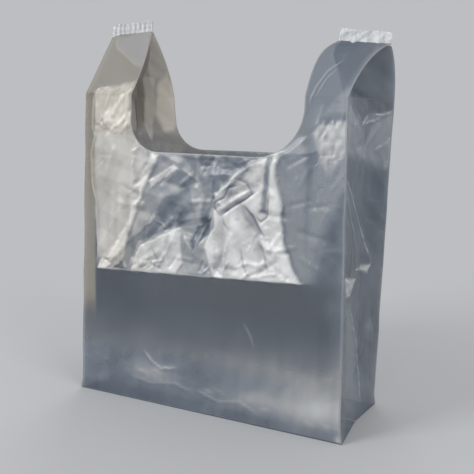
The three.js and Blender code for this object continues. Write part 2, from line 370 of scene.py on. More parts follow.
class HandleSizes(bpy.types.PropertyGroup):
    """The sizes of one handle."""

    side: bpy.props.IntProperty(
        name="Side", description="-1 for the left handle, 1 for the right", default=-1
    )
    inset: length("Inset", 25, "From the bag's side in to the middle of the weld")
    back: length("Back", 0, "From the middle plane back to the middle of the weld")
    rise: length("Rise", 67, "From the shoulder up to the weld")
    turn: angle("Turn", 0, "Turn of the weld about the vertical")
    tilt: angle("Tilt", 3, "Lift of the weld's inner end")
    bow: length("Bow", 0, "How far the layers stand out between shoulder and weld")
    weld_length: length("Weld length", 50, "Length of the gathered weld")
    mouth_radius: length("Mouth radius", 30, "Radius of the mouth's corner below this handle")
    edge_power: bpy.props.IntProperty(
        name="Edge power",
        description="How late the cut edge turns in towards the weld",
        default=2,
        min=1,
    )
    front_lean: length("Front lean", 6, "How far the front crease leans in by the shoulder")
    back_lean: length("Back lean", 3, "How far the back crease leans in by the shoulder")


class BagSizes(bpy.types.PropertyGroup):
    """The sizes of the bag."""

    width: length("Width", 300, "Front panel at the base, from crease to crease")
    gusset_half: length("Half gusset", 59, "Half of one side panel, from its crease to its centre fold")
    wall: length("CAD wall", 0.6, "Wall of the CAD model's film, whose middle this film follows")
    gauge: length("Film gauge", 0.25, "Thickness of the film that is shown")
    shoulder: length("Shoulder height", 322, "Where the handles start to lean in")
    gusset_dip: length("Gusset dip", 5, "How far a side's centre fold stands in from its creases")
    rim_drop: length("Rim drop", 57, "From the shoulder down to the lip of the mouth")
    mouth_width: length("Mouth width", 186.5, "Distance between the two handles")
    mouth_shift: length("Mouth shift", 6.25, "How far the mouth lies towards the right handle")
    back_sag: length("Back sag", 34, "How far the slack back panel sags forward")
    sag_offset: length("Sag offset", 12, "From the mouth's left edge out to the middle of the sag")
    sag_reach: length("Sag reach", 112, "From the middle of the sag to where it dies out")
    fold_margin: length("Fold margin", 5, "From a handle's cut edge to the gusset fold behind it")
    seam_width: length("Seam width", 5, "Width of the weld across the base")
    seam_rise: length("Seam rise", 1.8, "Height of the weld across the base")
    seam_tab: length("Seam tab", 3, "How far the seam's ends stand out past the side folds")
    weld_height: length("Weld height", 11, "Height of a handle's weld")
    weld_overlap: length("Weld overlap", 2, "How far a weld reaches down over the layers")
    crimp_depth: length("Crimp depth", 0.7, "Depth of the ribs pressed into the left weld")
    crimp_count: bpy.props.IntProperty(
        name="Crimps", description="Half the ribs along the left weld", default=4, min=1
    )
    left: bpy.props.PointerProperty(type=HandleSizes)
    right: bpy.props.PointerProperty(type=HandleSizes)


class FilmLook(bpy.types.PropertyGroup):
    """The colours and finish of the film."""

    cool: colour("Cool tint", (0.47, 0.68, 1.0), "Tint of the film where it is dark")
    neutral: colour("Neutral tint", (0.78, 0.80, 0.82), "Tint of the film where it is bright")
    warm: colour("Warm tint", (0.88, 0.80, 0.67), "Tint of the film where it shines warm")
    clear: share("Clear film", 0.40, "Opacity of one face of smooth film")
    foil: share("Crumpled film", 0.86, "Opacity of one face of crumpled film")
    smooth_roughness: share("Smooth roughness", 0.24, "Roughness of smooth film")
    foil_roughness: share("Crumpled roughness", 0.34, "Roughness of crumpled film")


class StageLook(bpy.types.PropertyGroup):
    """The camera, the floor and the light."""

    azimuth: angle("Azimuth", 25.5, "Turn of the view from the front towards the right side")
    elevation: angle("Elevation", 9, "Angle of the view above the level")
    roll: angle("Roll", 1.7, "Turn of the camera about its own axis")
    distance: length("Distance", 751.5, "From the camera to the point it looks at")
    target: bpy.props.FloatVectorProperty(
        name="Target",
        description="The point that the camera looks at",
        default=(0.0144, -0.014, 0.1794),
        unit="LENGTH",
        subtype="TRANSLATION",
    )
    focal_pixels: bpy.props.FloatProperty(
        name="Focal length", description="Focal length in pixels of the square picture", default=725
    )
    floor: colour("Floor", srgb(184, 186, 189), "Colour of the floor")
    backdrop: colour("Backdrop", srgb(188, 190, 193), "Colour of the backdrop")
    sky: share("Sky", 0.62, "Strength of the even light from all around")


# Surfaces as functions of two parameters.


def lerp(a, b, t):
    """a where t is 0, b where t is 1, and a straight line between them."""
    return a + (b - a) * t


def ease(low, high, value):
    """0 below low, 1 above high, and a smooth step between them."""
    t = np.clip((value - low) / (high - low), 0, 1)
    return t * t * (3 - 2 * t)


def fade(low, high, value):
    """ease between two places that are given in millimetres."""
    return ease(low * MM, high * MM, value)


def vectors(x, y, z):
    """Points from their three coordinates, as one array."""
    return np.stack(np.broadcast_arrays(x, y, z), axis=-1).astype(float)


def between(a, b, t):
    """Points a share t of the way from points a to points b."""
    return a + (b - a) * np.asarray(t, float)[..., None]


def noise(x, z, size, seed):
    """Smooth noise from -1 to 1: seeded random values on a square lattice of the given size,
    blended between the four corners of each cell with smooth steps."""
    table = np.random.default_rng(seed).uniform(-1, 1, (64, 64))
    cell_x = np.floor(x / size).astype(int)
    cell_z = np.floor(z / size).astype(int)
    share_x = ease(0, 1, x / size - cell_x)
    share_z = ease(0, 1, z / size - cell_z)

    def corner(right, up):
        """The values at one corner of the cells."""
        return table[(cell_x + right) % 64, (cell_z + up) % 64]

    lower = lerp(corner(0, 0), corner(1, 0), share_x)
    upper = lerp(corner(0, 1), corner(1, 1), share_x)
    return lerp(lower, upper, share_z)


def folds(x, z, size, seed, count=4):
    """Crumpled film from -1 to 1: the mean of triangle waves, each in its own direction, bent
    by noise and fading in and out, which leaves flat facets between sharp creases."""
    chance = np.random.default_rng(seed)
    total = 0
    for k in range(count):
        turn = chance.uniform(0, math.pi)
        wave = size * chance.uniform(0.7, 1.5)
        phase = (x * math.cos(turn) + z * math.sin(turn)) / wave
        phase = phase + chance.uniform() + 0.35 * noise(x, z, 1.7 * size, seed * 31 + k)
        strength = 0.65 + 0.35 * noise(x, z, 1.2 * size, seed * 57 + k)
        total = total + strength * (4 * np.abs(phase - np.floor(phase + 0.5)) - 1)
    return total / count * 1.6


def segment_distance(x, z, start, end):
    """Distance from points to a straight segment."""
    along_x, along_z = end[0] - start[0], end[1] - start[1]
    t = ((x - start[0]) * along_x + (z - start[1]) * along_z) / (along_x**2 + along_z**2)
    t = np.clip(t, 0, 1)
    return np.hypot(x - start[0] - t * along_x, z - start[1] - t * along_z)


def path_distance(x, z, path):
    """Distance from points to a path given as corner points in millimetres."""
    corners = np.array(path) * MM
    return np.min([segment_distance(x, z, a, b) for a, b in zip(corners, corners[1:])], axis=0)


def inside(x, z, outline):
    """Distance from points to a closed outline in millimetres, positive inside it. A point is
    inside where a ray to the right crosses the outline an odd number of times."""
    corners = np.array(outline) * MM
    crossings = np.zeros(np.shape(x), bool)
    for (ax, az), (bx, bz) in zip(corners, np.roll(corners, -1, axis=0)):
        if az != bz:
            crossings ^= ((az > z) != (bz > z)) & (x < (bx - ax) * (z - az) / (bz - az) + ax)
    reach = path_distance(x, z, [*outline, outline[0]])
    return np.where(crossings, reach, -reach)


def ragged(x, z, seed):
    """Points moved about by a little noise, so that an outline drawn on them is uneven."""
    large = 1.2 * MM * noise(x, z, 11 * MM, seed)
    small = 0.5 * MM * noise(x, z, 3.5 * MM, seed + 1)
    other = 1.2 * MM * noise(x, z, 11 * MM, seed + 2)
    return x + large + small, z + other - small


def mouth_edge(bag, handle):
    """X of the mouth's edge on one side, the inner edge of that side's handle."""
    return bag.mouth_shift + handle.side * bag.mouth_width / 2


def panel_y(bag, face, x, z):
    """Y of the front panel, a plane, or of the back panel: a plane less a round bump across
    the panel beside the left handle, which grows with the square of the height."""
    plane = bag.gusset_half - bag.wall / 2
    if face == FRONT:
        return -plane + 0 * x
    across = np.clip((x - mouth_edge(bag, bag.left) + bag.sag_offset) / bag.sag_reach, -1, 1)
    return plane - bag.back_sag * (z / bag.shoulder) ** 2 * np.cos(across * math.pi / 2) ** 2


def crease(bag, handle, face, z):
    """A side's crease with the front or back panel: a straight line that leans in towards
    the shoulder, a little uneven, and flared at the very bottom."""
    lean = handle.front_lean if face == FRONT else handle.back_lean
    seed = 5 + handle.side + 2 * face
    uneven = CREASE_SWAY * noise(z, 0 * z, 26 * MM, seed) * fade(0, 20, z)
    flare = BASE_FLARE * (1 - fade(0, 12, z))
    x = handle.side * (bag.width / 2 - bag.wall / 2 - lean * z / bag.shoulder + uneven + flare)
    return vectors(x, panel_y(bag, face, x, z), z)


def side_fold(bag, handle, z):
    """A side's centre fold: half way between its creases, moved in by the dip."""
    middle = (crease(bag, handle, FRONT, z) + crease(bag, handle, BACK, z)) / 2
    return middle + vectors(-handle.side * bag.gusset_dip, 0, 0)


def weld_axes(handle):
    """The weld's outward direction and its backward normal, which are level."""
    outward = np.array([handle.side * math.cos(handle.turn), math.sin(handle.turn), 0])
    backward = np.array([-handle.side * math.sin(handle.turn), math.cos(handle.turn), 0])
    return outward, backward


def weld_point(bag, handle, along, level, up=0):
    """A point of the weld: along is 1 at its outer end and -1 at its inner end, level counts
    film layers towards the back, and up is the height above its lower edge."""
    outward, backward = weld_axes(handle)
    x = handle.side * (bag.width / 2 - handle.inset)
    lift = -along * handle.weld_length * math.sin(handle.tilt) / 2
    middle = vectors(x, handle.back, bag.shoulder + handle.rise + lift + up)
    sideways = (np.asarray(along, float) * handle.weld_length / 2)[..., None] * outward
    return middle + sideways + (np.asarray(level, float) * bag.wall)[..., None] * backward


def swell(handle, s):
    """How far a handle's layers stand out, a parabola from the shoulder to the weld."""
    return 4 * s * (1 - s) * handle.bow


def handle_crease(bag, handle, face, s):
    """The outer crease of a handle, a share s of the way from the shoulder to the weld."""
    start = crease(bag, handle, face, bag.shoulder + 0 * s)
    straight = between(start, weld_point(bag, handle, 1 + 0 * s, 1.5 * face), s)
    return straight + vectors(0, face * swell(handle, s), swell(handle, s))


def cut_edge(bag, handle, face, s):
    """The cut edge of a handle. X goes from the mouth's edge to the weld with a power of s,
    and Y and Z go straight, apart from the swell."""
    x = mouth_edge(bag, handle) + 0 * s
    start = vectors(x, panel_y(bag, face, x, bag.shoulder), bag.shoulder)
    end = weld_point(bag, handle, -1 + 0 * s, 1.5 * face)
    straight = between(start, end, s)
    straight[..., 0] = lerp(start[..., 0], end[..., 0], s**handle.edge_power)
    return straight + vectors(0, face * swell(handle, s), 0)


def handle_fold(bag, handle, s):
    """The centre fold of the gusset inside a handle. Its creases close up while the film
    keeps its width, so the fold moves in along a quarter circle."""
    creases = (handle_crease(bag, handle, FRONT, s) + handle_crease(bag, handle, BACK, s)) / 2
    cuts = (cut_edge(bag, handle, FRONT, s) + cut_edge(bag, handle, BACK, s)) / 2
    across = cuts - creases
    reach = np.linalg.norm(across, axis=-1, keepdims=True)
    inward = between(vectors(-handle.side, 0, 0), across / reach, s)
    inward /= np.linalg.norm(inward, axis=-1, keepdims=True)
    depth = lerp(bag.gusset_dip, reach[..., 0] - bag.fold_margin, np.sqrt(s * (2 - s)))
    return creases + inward * depth[..., None]


def inner_x(bag, handle, z):
    """X of the line where a side strip of a panel ends: straight up to the rim, then round
    the mouth's corner on a quarter circle, and up the mouth's edge."""
    radius = handle.mouth_radius
    rim = bag.shoulder - bag.rim_drop
    down = np.clip((rim + radius - z) / radius, 0, 1)
    return mouth_edge(bag, handle) - handle.side * radius * (1 - np.sqrt(1 - down * down))


def side_strip(bag, handle, face, u, height):
    """Points of a panel's strip below and in one handle. u is 0 at the outer crease and 1 at
    the inner edge. Up to the shoulder height is Z, and above it the share s of the handle's
    rise is what height has left over."""
    z = np.minimum(height, bag.shoulder)
    s = np.clip((height - bag.shoulder) / handle.rise, 0, 1)
    body_outer = crease(bag, handle, face, z)
    body_x = lerp(body_outer[..., 0], inner_x(bag, handle, z), u)
    body = vectors(body_x, panel_y(bag, face, body_x, z), z)
    outer = handle_crease(bag, handle, face, s)
    upper = between(outer, cut_edge(bag, handle, face, s), u)
    start = between(handle_crease(bag, handle, face, 0 * s), cut_edge(bag, handle, face, 0 * s), u)
    curve = (panel_y(bag, face, start[..., 0], bag.shoulder) - start[..., 1]) * (1 - s) ** 2
    upper[..., 1] += curve
    return np.where((height <= bag.shoulder)[..., None], body, upper)


def panel_normal(handle, face, height, shoulder):
    """The way out of a panel: square to it up to the shoulder, and square to the weld at the
    weld."""
    s = np.clip((height - shoulder) / handle.rise, 0, 1)
    _, backward = weld_axes(handle)
    normal = between(vectors(0 * s, 1, 0), backward, s)
    return face * normal / np.linalg.norm(normal, axis=-1, keepdims=True)


# Relief and tone of the surfaces. Relief is in metres, outwards. Tone goes from 0 to 1, and is
# written as a level from 0 to 255 over 255. Calls of noise, folds and strewn differ by their
# seeds.


def paint_facets(x, z, facets, relief, tone):
    """Gives each facet its height and tone, one after the other, blended over its softness."""
    for level, softness, height, outline in facets:
        cover = ease(-softness * MM, softness * MM, inside(x, z, outline))
        relief = relief + height * MM * cover
        tone = lerp(tone, level / 255, cover)
    return relief, tone


def paint_creases(x, z, creases, relief, tone):
    """Adds each crease as a ridge or groove with straight sides, and its tone along it. Both
    taper off towards the ends of the crease."""
    for level, half_width, height, path in creases:
        away = path_distance(x, z, path)
        first, last = np.array(path[0]) * MM, np.array(path[-1]) * MM
        end = np.minimum(np.hypot(x - first[0], z - first[1]), np.hypot(x - last[0], z - last[1]))
        taper = fade(-3, 9, end)
        relief = relief + taper * height * MM * np.clip(1 - away / (3 * half_width * MM), 0, 1)
        line = 1 - ease(0.2 * half_width * MM, 1.5 * half_width * MM, away)
        tone = lerp(tone, level / 255, 0.7 * taper * line)
    return relief, tone


def painted_highlight_line(tone, away, reach, level):
    """Tone with a painted highlight line where away, the distance from a crease or an edge, is
    near 0.
    """
    return lerp(tone, level / 255, 0.75 * (1 - ease(0.4 * reach * MM, reach * MM, away)))


def hem_height(x):
    """Z of the straight lower edge of the crumpled part at x."""
    t = (x / MM - HEM_LEFT[0]) / (HEM_RIGHT[0] - HEM_LEFT[0])
    return MM * lerp(HEM_LEFT[1], HEM_RIGHT[1], t)


def strewn(x, z, seed, count, low, high, longest, height):
    """Short creases strewn over a rectangle: each is a ridge or a groove with straight
    sides, whose width and height go with its own length."""
    chance = np.random.default_rng(seed)
    relief = 0
    for _ in range(count):
        start = chance.uniform(low, high) * MM
        turn = chance.normal(1.2, 1.2)
        reach = longest * MM * chance.uniform(0.25, 1)
        end = start + reach * np.array([math.cos(turn), math.sin(turn)])
        rise = chance.choice([-1, 1]) * height * MM * reach / (longest * MM)
        away = segment_distance(x, z, start, end)
        relief = relief + rise * np.clip(1 - away / (0.2 * reach), 0, 1)
    return relief


def slopes(relief, x, z):
    """Relief at points, and how far the surface there faces up and to the left: the change of
    relief over a small step down, and over a small step to the right. The looks turn these
    into painted shading."""
    step = 0.6 * MM
    here = relief(x, z)
    return here, (here - relief(x, z + step)) / step, (relief(x + step, z) - here) / step


def front_relief(x, z):
    """Height of the front panel over its plane: slack waves everywhere, folds of three sizes
    and strewn creases in the crumpled part, whose lower edge stands out like a hem."""
    foil = fade(-3, 4, inside(x, z, CRUMPLED_FRONT))
    low = fade(95, 40, z)
    slack = 1.6 * MM * noise(x, z, 70 * MM, 3)
    soft = 0.9 * MM * folds(x, z, 58 * MM, 11, 3) + 0.3 * MM * low * folds(x, z, 24 * MM, 12, 3)
    large = 1.9 * MM * folds(x, z, 44 * MM, 21, 3)
    middle = 0.6 * MM * folds(x, z, 18 * MM, 22, 3)
    small = 0.2 * MM * folds(x, z, 7 * MM, 23, 3)
    rough = 0.6 + 0.4 * noise(x, z, 20 * MM, 24) - 0.35 * fade(-60, -95, x)
    sharp = strewn(x, z, 25, 110, (-130, 140), (104, 268), 30, 1.5)
    sharp = sharp + strewn(x, z, 26, 46, (-128, 280), (-86, 326), 20, 1.1)
    sharp = sharp + 0.6 * strewn(x, z, 27, 34, (112, 160), (146, 300), 22, 1.2)
    sharp = sharp * lerp(0.45, 1, fade(-98, -80, x))
    sharp = sharp + strewn(x, z, 30, 18, (112, 256), (140, 288), 14, 0.9)
    above = z - hem_height(x)
    sharp = sharp + strewn(x, z, 29, 40, (-120, 143), (98, 156), 14, 1.0) * fade(0, 2, above)
    soft = soft + 0.5 * strewn(x, z, 28, 26, (-140, 10), (146, 90), 40, 1.0)
    hem = 1.0 * MM * fade(-0.9, 0.6, above) * np.exp(-np.maximum(above, 0) / (9 * MM)) * foil
    relief = slack + (1 - foil) * soft + foil * (large + rough * (middle + small)) + sharp + hem
    wx, wz = ragged(x, z, 41)
    raised, _ = paint_facets(wx, wz, FRONT_FACETS, 0 * x, 0 * x)
    relief = relief + raised * fade(-1, 0.4, above)
    relief, _ = paint_creases(x, z, FRONT_CREASES, relief, 0 * x)
    return relief


def smooth_film_tone(x, z, wx, wz, low, upper_right):
    """Tone of the front panel's smooth film: lighter towards the base and to the right, with
    broad painted highlights and a little painted shade, soft folds, a band of painted wisp
    highlights near the base, and a grey upper right part."""
    tone = SMOOTH_LEVEL / 255 + low * (59 + 0.09 * (x / MM + 140)) / 255 - 0.06 * fade(18, 6, z)
    # Painted highlights, and a little painted shade, at the listed places.
    for (bx, bz), (reach_x, reach_z), change in FRONT_PAINTED_LIGHT:
        far = ((wx / MM - bx) / reach_x) ** 2 + ((wz / MM - bz) / reach_z) ** 2
        tone = tone + change / 255 * np.exp(-far)
    tone = tone + 0.03 * noise(x, z, 34 * MM, 43) + 0.014 * noise(x, z * 0.15, 5 * MM, 44)
    tone = tone + 0.03 * low * folds(x, z, 26 * MM, 46, 3)
    # Painted wisps of highlight in a slanted band near the base.
    wisp_highlight_band = fade(9, 0, np.abs(z - 27 * MM + 0.09 * x))
    wisp_highlights = np.maximum(folds(0.6 * x, z + 0.12 * x, 11 * MM, 52, 3), 0) * wisp_highlight_band
    tone = tone + 0.1 * wisp_highlights
    grey = UPPER_RIGHT_LEVEL / 255 + 0.07 * noise(x, z * 0.4, 14 * MM, 45)
    grey = grey + 0.04 * folds(x, z, 12 * MM, 49)
    return lerp(tone, grey, upper_right)


def sheen_tone_change(x, z):
    """How the painted sheen's tone wanders over the crumpled part: upright streaks at its left
    end, clouds elsewhere.
    """
    cloudy = 0.07 * folds(x, z, 15 * MM, 47, 3) + 0.05 * noise(x, z, 28 * MM, 48)
    streaks = 0.05 * noise(x, 0.12 * z, 5 * MM, 50)
    return lerp(streaks, cloudy, fade(-95, -70, x))


def hem_highlight(x, above):
    """1 on the painted highlight along the lower edge of the crumpled part, and 0 away from it."""
    line = 1 - fade(0.4, 1.3, np.abs(above - 0.4 * MM))
    return line * fade(-130, -127, x) * (1 - fade(103, 107, x))


def front_look(points, outer, lip):
    """Relief, tone, warmth and haze of the front panel: the drawn facets and creases with their
    painted light and shade, painted shading that is brighter where the relief faces up and
    left, and a painted highlight along the cut edge."""
    x, z = points[..., 0], points[..., 2]
    relief, upward, leftward = slopes(front_relief, x, z)
    wx, wz = ragged(x, z, 41)
    above = z - hem_height(x)
    # foil marks the crumpled part, whose tone is a painted sheen.
    foil = fade(-2, 2, inside(wx, wz, CRUMPLED_FRONT)) * fade(-0.5, 0.5, above)
    block = fade(-2, 2, inside(wx, wz, LEFT_BLOCK))
    fan = fade(-2, 2, inside(wx, wz, LEFT_FAN))
    crumpled_handle = fade(-3, 6, inside(wx, wz, RIGHT_CRUMPLE))
    low = fade(122, 44, z)
    upper_right = fade(95, 112, x) * fade(135, 165, z)
    slanted = z - 0.15 * (x + 140 * MM)
    left_handle = fade(316, 326, slanted) * (x < 0)
    right_handle = fade(290, 325, z) * (x > 60 * MM)
    strip = (1 - fade(-134, -129, x)) * fade(66, 112, z) * (1 - left_handle)

    smooth = smooth_film_tone(x, z, wx, wz, low, upper_right)
    tone = lerp(smooth, CRUMPLED_SHEEN_LEVEL / 255, foil)
    tone = lerp(tone, LEFT_HANDLE_LEVEL / 255, left_handle)
    tone = lerp(tone, RIGHT_HANDLE_LEVEL / 255, right_handle)
    _, tone = paint_facets(wx, wz, FRONT_FACETS, relief, tone)
    tone = tone + foil * sheen_tone_change(x, z)
    tone = lerp(tone, STRIP_LEVEL / 255, strip)
    tone = lerp(smooth, tone, np.clip(fade(-0.4, 0.4, above) + strip, 0, 1))
    _, tone = paint_creases(x, z, FRONT_CREASES, relief, tone)
    tone = tone + block * (0.03 + 0.05 * folds(x, z, 11 * MM, 55, 3))
    # Painted shading: lighter where the relief faces up and left, stronger in the crumpled block and
    # weaker elsewhere in the left handle.
    slope_shading = (0.15 * upward + 0.1 * leftward) * (1 + 0.5 * block)
    slope_shading = slope_shading * (1 - 0.75 * left_handle * (1 - block))
    tone = tone + np.clip(slope_shading * (0.6 + 0.4 * foil), -0.2, 0.16)
    # A painted highlight along the hem.
    tone = lerp(tone, HEM_HIGHLIGHT_LEVEL / 255, 0.85 * hem_highlight(x, above))
    # Painted highlight lines along the cut edge and along the bottom edge.
    tone = painted_highlight_line(painted_highlight_line(tone, lip, 1.6, 190), z, 2, 160)
    # Lighter near the side crease, with a painted highlight line along it.
    tone = painted_highlight_line(tone + 0.07 * (1 - fade(0, 9, outer)), outer, 2.6, 186)
    tone = tone + 0.11 * crumpled_handle * folds(x, z, 8 * MM, 51, 3)

    # Warmth: the warm tint of painted light, on the strip, the left handle and the crumpled part, and
    # low on the panel with the painted highlights.
    warm_handle = fade(312, 322, slanted) * (x < 0)
    warmth = np.clip(strip + 0.7 * warm_handle * (1 - 0.8 * fan), 0, 1)
    warmth = np.maximum(warmth, foil * (0.13 + 0.32 * (1 - fade(-110, -40, x))))
    warmth = np.maximum(warmth, 0.7 * foil * (x < 0) * fade(262, 290, z))
    warmth = np.maximum(warmth, 0.22 * fade(110, 75, z) * fade(44, 60, z))
    parts = [foil, 0.8 * crumpled_handle, 0.4 * low, 0.45 * right_handle, 0.25 * upper_right]
    return relief, tone, warmth, np.max(parts, axis=0)


def crumpled_back(x, z):
    """1 in the crumpled upper part of the back panel and 0 below its wavy lower edge."""
    return fade(120, 190, z + 12 * MM * noise(x, z, 40 * MM, 61))


def back_relief(x, z):
    """Height of the back panel: slack waves, and folds and creases that grow towards the
    mouth."""
    slack = 1.4 * MM * noise(x, z, 70 * MM, 62) + 0.8 * MM * folds(x, z, 55 * MM, 63, 3)
    crumpled = 1.8 * MM * folds(x, z, 40 * MM, 64, 3) + 0.8 * MM * folds(x, z, 17 * MM, 65, 3)
    sharp = strewn(x, z, 68, 90, (-140, 150), (140, 275), 32, 1.3)
    sharp = sharp + 0.5 * strewn(x, z, 69, 26, (-140, 10), (140, 110), 40, 1)
    return slack + crumpled_back(x, z) * crumpled + sharp


def back_look(points, outer, lip):
    """Relief, tone, warmth and haze of the back panel, with painted shading that is brighter where
    the relief faces up, and with the painted light and shade that shows inside the left handle."""
    x, z = points[..., 0], points[..., 2]
    relief, upward, leftward = slopes(back_relief, x, z)
    high = crumpled_back(x, z)
    tone = BACK_LEVEL / 255 + 0.04 * noise(x, z, 40 * MM, 66) + 0.1 * fade(110, 40, z)
    tone = tone + high * (0.15 * folds(x, z, 46 * MM, 67, 3) + 0.12)
    # The handles' layers take a set tone, lighter on the left, where painted warm light falls.
    handle = fade(268, 300, z)
    left = 1 - fade(-60, -20, x)
    tone = lerp(tone, (184 - 64 * (1 - left)) / 255, 0.8 * handle)
    # Painted shading: lighter where the relief faces up, a little darker where it faces left.
    tone = tone + np.clip(0.25 * upward - 0.1 * leftward, -0.2, 0.2)
    tone = inside_handle(x, z, tone)
    # Painted highlight lines along the cut edge and the side crease.
    tone = painted_highlight_line(tone, lip, 1.6, 180)
    tone = painted_highlight_line(tone, outer, 1.8, 150)
    # The slot of painted shade is hazier too, so less of the pale backdrop shows through it.
    slot = fade(-1, 1, inside(x, z, LEFT_SLOT_SHADE))
    haze = np.maximum(0.35 * high * (1 - handle), handle * left * lerp(0.4, 0.9, slot))
    return relief, tone, 0.9 * fade(245, 275, z) * left, haze


def inside_handle(x, z, tone):
    """Tone of what shows through the left handle's opening, on the layers at its back, with its
    painted light and shade.
    """
    wx, wz = ragged(x, z, 81)
    _, tone = paint_facets(wx, wz, HANDLE_FACETS, 0 * x, tone)
    return tone


def side_relief(y, z, seed, facets, creases):
    """Height of a side panel: slack waves, folds of two sizes, strewn creases, and the drawn
    facets and creases."""
    slack = 1.1 * MM * noise(y, z, 60 * MM, seed) + 1.0 * MM * folds(y, z, 55 * MM, seed + 1, 3)
    relief = slack + 0.4 * MM * folds(y, z, 18 * MM, seed + 2, 3)
    relief = relief + 0.7 * strewn(y, z, seed + 6, 46, (-54, 20), (54, 315), 30, 1.1)
    wy, wz = ragged(y, z, seed + 3)
    relief, _ = paint_facets(wy, wz, facets, relief, 0 * y)
    relief, _ = paint_creases(y, z, creases, relief, 0 * y)
    return relief


def side_look(y, z, seed, facets, creases):
    """Relief, tone, warmth and haze of a side panel, with its drawn facets and creases, painted
    shading where the relief faces up and left, and painted highlights along its creases.
    """
    relief, upward, leftward = slopes(lambda a, b: side_relief(a, b, seed, facets, creases), y, z)
    wy, wz = ragged(y, z, seed + 3)
    tone = SIDE_LEVEL / 255 + 0.05 * noise(y, z, 30 * MM, seed + 4)
    tone = tone + 0.015 * noise(y, z * 0.2, 6 * MM, seed + 5)
    tone = tone + 0.07 * fade(100, 30, z) + 0.04 * folds(y, z, 32 * MM, seed + 7, 3)
    _, tone = paint_facets(wy, wz, facets, relief, tone)
    _, tone = paint_creases(y, z, creases, relief, tone)
    # Painted shading: lighter where the relief faces up and left.
    tone = tone + np.clip(0.24 * upward + 0.1 * leftward, -0.16, 0.18)
    crumples = ease(170 / 255, 200 / 255, tone)
    tone = tone + 0.16 * crumples * folds(y, z, 6 * MM, seed + 8, 3)
    outer = np.max(np.abs(y)) - np.abs(y)
    # Lighter near the creases, with a painted highlight line along them.
    tone = painted_highlight_line(tone + 0.08 * (1 - fade(0, 14, outer)), outer, 3.4, 176)
    return relief, tone, 0 * y, 0.15 + 0.5 * crumples


def right_side_look(points, y, z):
    """The look of the right side panel, with the facets and creases that are drawn for it."""
    return side_look(y, z, 101, SIDE_FACETS, SIDE_CREASES)


def left_side_look(points, y, z):
    """The look of the left side panel: plain folds, and lighter and warmer in painted light and
    hazier towards the handle, where its back half also shows through the handle's opening."""
    relief, tone, _, haze = side_look(y, z, 201, (), ())
    handle = fade(190, 330, z)
    # Painted warm light towards the handle.
    tone = lerp(tone, LEFT_SIDE_HANDLE_LEVEL / 255, 0.8 * handle)
    tone = np.where(y > 0, inside_handle(points[..., 0], points[..., 2], tone), tone)
    return relief, tone, 0.8 * handle, haze + 0.4 * handle


def ribbed_weld(bag, along, up, run, height):
    """Depth, tone and height of the left weld: ribs along it, and a crumpled outer end that
    droops in front of the layers below it."""
    ribs = 2 * math.pi * bag.crimp_count * (along + 0.05 * noise(run, height, 9 * MM, 71))
    depth = bag.crimp_depth * (0.5 + 0.4 * noise(run, height, 12 * MM, 72)) * np.sin(ribs)
    # The tone follows the slopes of the ribs: painted shading.
    tone = LEFT_WELD_LEVEL / 255 + 0.06 * np.cos(ribs)
    tone = tone + 0.10 * folds(run, height, 6 * MM, 73, 3)
    outer_end = ease(0.55, 1, along)
    depth = depth + 0.8 * MM * outer_end * folds(run, height, 5 * MM, 79, 3)
    depth = depth - 2.4 * MM * outer_end * (1 - up) ** 0.5
    tone = tone + 0.10 * outer_end * folds(run, height, 4 * MM, 80, 3)
    return depth, tone, height - 4.5 * MM * outer_end**1.5 * (1 - 0.6 * up)


def crumpled_weld(bag, along, up, run, height):
    """Depth, tone and height of the right weld, which is crumpled all over."""
    depth = 1.3 * bag.crimp_depth * folds(run, height, 11 * MM, 74, 3)
    depth = depth + 0.4 * bag.crimp_depth * folds(run, height, 4 * MM, 75)
    tone = RIGHT_WELD_LEVEL / 255 + 0.12 * folds(run, height, 9 * MM, 76, 3)
    return depth, tone + 0.05 * folds(run, height, 3 * MM, 77), height


# Meshes.


def grid_faces(rows, columns, flip):
    """The four corners of each cell of a grid whose points are counted row by row."""
    first = (np.arange(rows - 1)[:, None] * columns + np.arange(columns - 1)).ravel()
    ring = [first, first + 1, first + columns + 1, first + columns]
    return np.stack(ring[::-1] if flip else ring, axis=1)


def sharpen(mesh, height):
    """Marks the edges that lie level at a height as sharp, so that the shading breaks there."""
    ends = np.empty(2 * len(mesh.edges), np.int32)
    mesh.edges.foreach_get("vertices", ends)
    places = np.empty(3 * len(mesh.vertices), np.float32)
    mesh.vertices.foreach_get("co", places)
    level = np.abs(places[2::3] - height) < MERGE_DISTANCE
    sharp = level[ends].reshape(-1, 2).all(axis=1)
    mesh.attributes.new("sharp_edge", "BOOLEAN", "EDGE").data.foreach_set("value", sharp)


